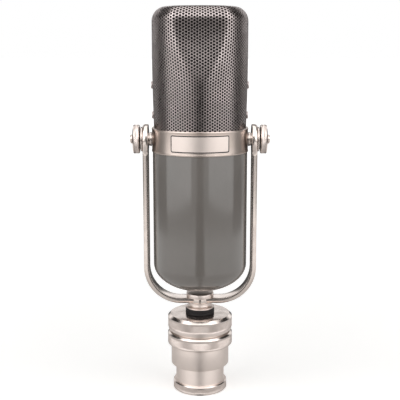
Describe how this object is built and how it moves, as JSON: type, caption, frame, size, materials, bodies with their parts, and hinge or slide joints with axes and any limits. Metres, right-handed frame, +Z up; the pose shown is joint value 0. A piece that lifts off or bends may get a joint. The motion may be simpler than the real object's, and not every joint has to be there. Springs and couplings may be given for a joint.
{
  "type": "tube condenser microphone",
  "caption": "Tube condenser microphone: perforated head over a domed enamelled body, tilting in a U-shaped yoke that swivels on a knurled adapter for a threaded stand.",
  "frame": {"origin": "middle of the foot's underside, on the axis of the stand thread", "axes": "+Z up along the stand axis, +X along the tilt axis to the right seen from the front, front of the microphone faces -Y"},
  "size_m": [0.0772, 0.0534, 0.216],
  "materials": {
    "satin_nickel": "satin nickel plating on turned brass",
    "bright_nickel": "bright nickel plating on steel",
    "grille_nickel": "perforated sheet, aged nickel plating",
    "grey_enamel": "gloss grey stoving enamel",
    "black_fibre": "black fibre and phenolic",
    "bare_steel": "zinc-plated steel",
    "bare_brass": "turned brass",
    "gold_plate": "gold plating",
    "insulator": "natural phenolic laminate",
    "steel_mesh": "blackened fine mesh",
    "laminations": "stamped core laminations",
    "copper_winding": "enamelled copper wire under tape",
    "tube_glass": "clear glass",
    "board": "glass-fibre board with green mask",
    "capacitor_sleeve": "blue plastic sleeve",
    "film_dip": "ochre epoxy dip",
    "resistor_body": "tan lacquer"
  },
  "bodies": {
    "base": {"adapter_barrel": "satin_nickel", "socket_insert": "black_fibre", "socket_contacts": "gold_plate", "swivel_housing": "satin_nickel", "plug_insert": "black_fibre", "plug_pins": "gold_plate", "swivel_bush": "bare_brass"},
    "stand_nut_body": {"stand_nut": "satin_nickel", "stand_nut_clip": "bare_steel"},
    "coupling_ring_body": {"coupling_ring": "satin_nickel"},
    "lock_ring_body": {"lock_ring": "satin_nickel"},
    "yoke": {"friction_washer": "black_fibre", "yoke_collar": "bright_nickel", "yoke_strap": "bright_nickel", "swivel_bolt": "bright_nickel", "swivel_nut": "bare_steel", "dished_washer_left": "bright_nickel", "dished_washer_right": "bright_nickel"},
    "thumb_left": {"thumb_nut_left": "bright_nickel"},
    "thumb_right": {"thumb_nut_right": "bright_nickel"},
    "microphone": {"trunnion_stud_left": "bright_nickel", "trunnion_stud_right": "bright_nickel", "spacer_rings_left": "bright_nickel", "spacer_rings_right": "bright_nickel", "trunnion_band": "satin_nickel", "blank_plate": "satin_nickel", "body_shell": "grey_enamel", "shell_screw": "bare_steel", "chassis_bottom_plate": "bare_steel", "chassis_rail_left": "bare_steel", "chassis_rail_right": "bare_steel", "chassis_top_plate": "bare_steel", "chassis_screws": "bare_steel", "transformer_core": "laminations", "transformer_winding": "copper_winding", "transformer_bracket": "bare_steel", "tube_deck": "bare_steel", "tube_socket": "black_fibre", "tube_glass": "tube_glass", "tube_elements": "bare_steel", "tube_pins": "bare_steel", "circuit_board": "board", "electrolytic_capacitors": "capacitor_sleeve", "film_capacitors": "film_dip", "resistors": "resistor_body", "head_base": "insulator", "head_rail_left": "bare_steel", "head_rail_right": "bare_steel", "capsule_post": "insulator", "capsule_saddle": "insulator", "capsule_ring": "bare_brass", "capsule_backplate": "bare_brass", "capsule_diaphragm": "gold_plate", "capsule_clamp_ring": "bare_brass", "capsule_screws": "bare_steel", "head_grille": "grille_nickel", "mesh_liner": "steel_mesh", "grille_screws": "bright_nickel"}
  },
  "joints": [
    {"name": "stand_nut_turn", "type": "hinge", "parent": "base", "child": "stand_nut_body", "pos_m": [0, 0, 0.0075], "axis": [0, 0, 1], "continuous": true},
    {"name": "coupling_ring_turn", "type": "hinge", "parent": "base", "child": "coupling_ring_body", "pos_m": [0, 0, 0.0307], "axis": [0, 0, 1], "continuous": true},
    {"name": "lock_ring_turn", "type": "hinge", "parent": "base", "child": "lock_ring_body", "pos_m": [0, 0, 0.0402], "axis": [0, 0, 1], "continuous": true},
    {"name": "yoke_swivel", "type": "hinge", "parent": "base", "child": "yoke", "pos_m": [0, 0, 0.049], "axis": [0, 0, 1], "range_deg": [-170, 170]},
    {"name": "microphone_tilt", "type": "hinge", "parent": "yoke", "child": "microphone", "pos_m": [0, 0, 0.1444], "axis": [1, 0, 0], "range_deg": [-90, 90]},
    {"name": "thumb_left_turn", "type": "hinge", "parent": "microphone", "child": "thumb_left", "pos_m": [-0.035, 0, 0.1444], "axis": [1, 0, 0], "continuous": true},
    {"name": "thumb_right_turn", "type": "hinge", "parent": "microphone", "child": "thumb_right", "pos_m": [0.035, 0, 0.1444], "axis": [1, 0, 0], "continuous": true}
  ]
}
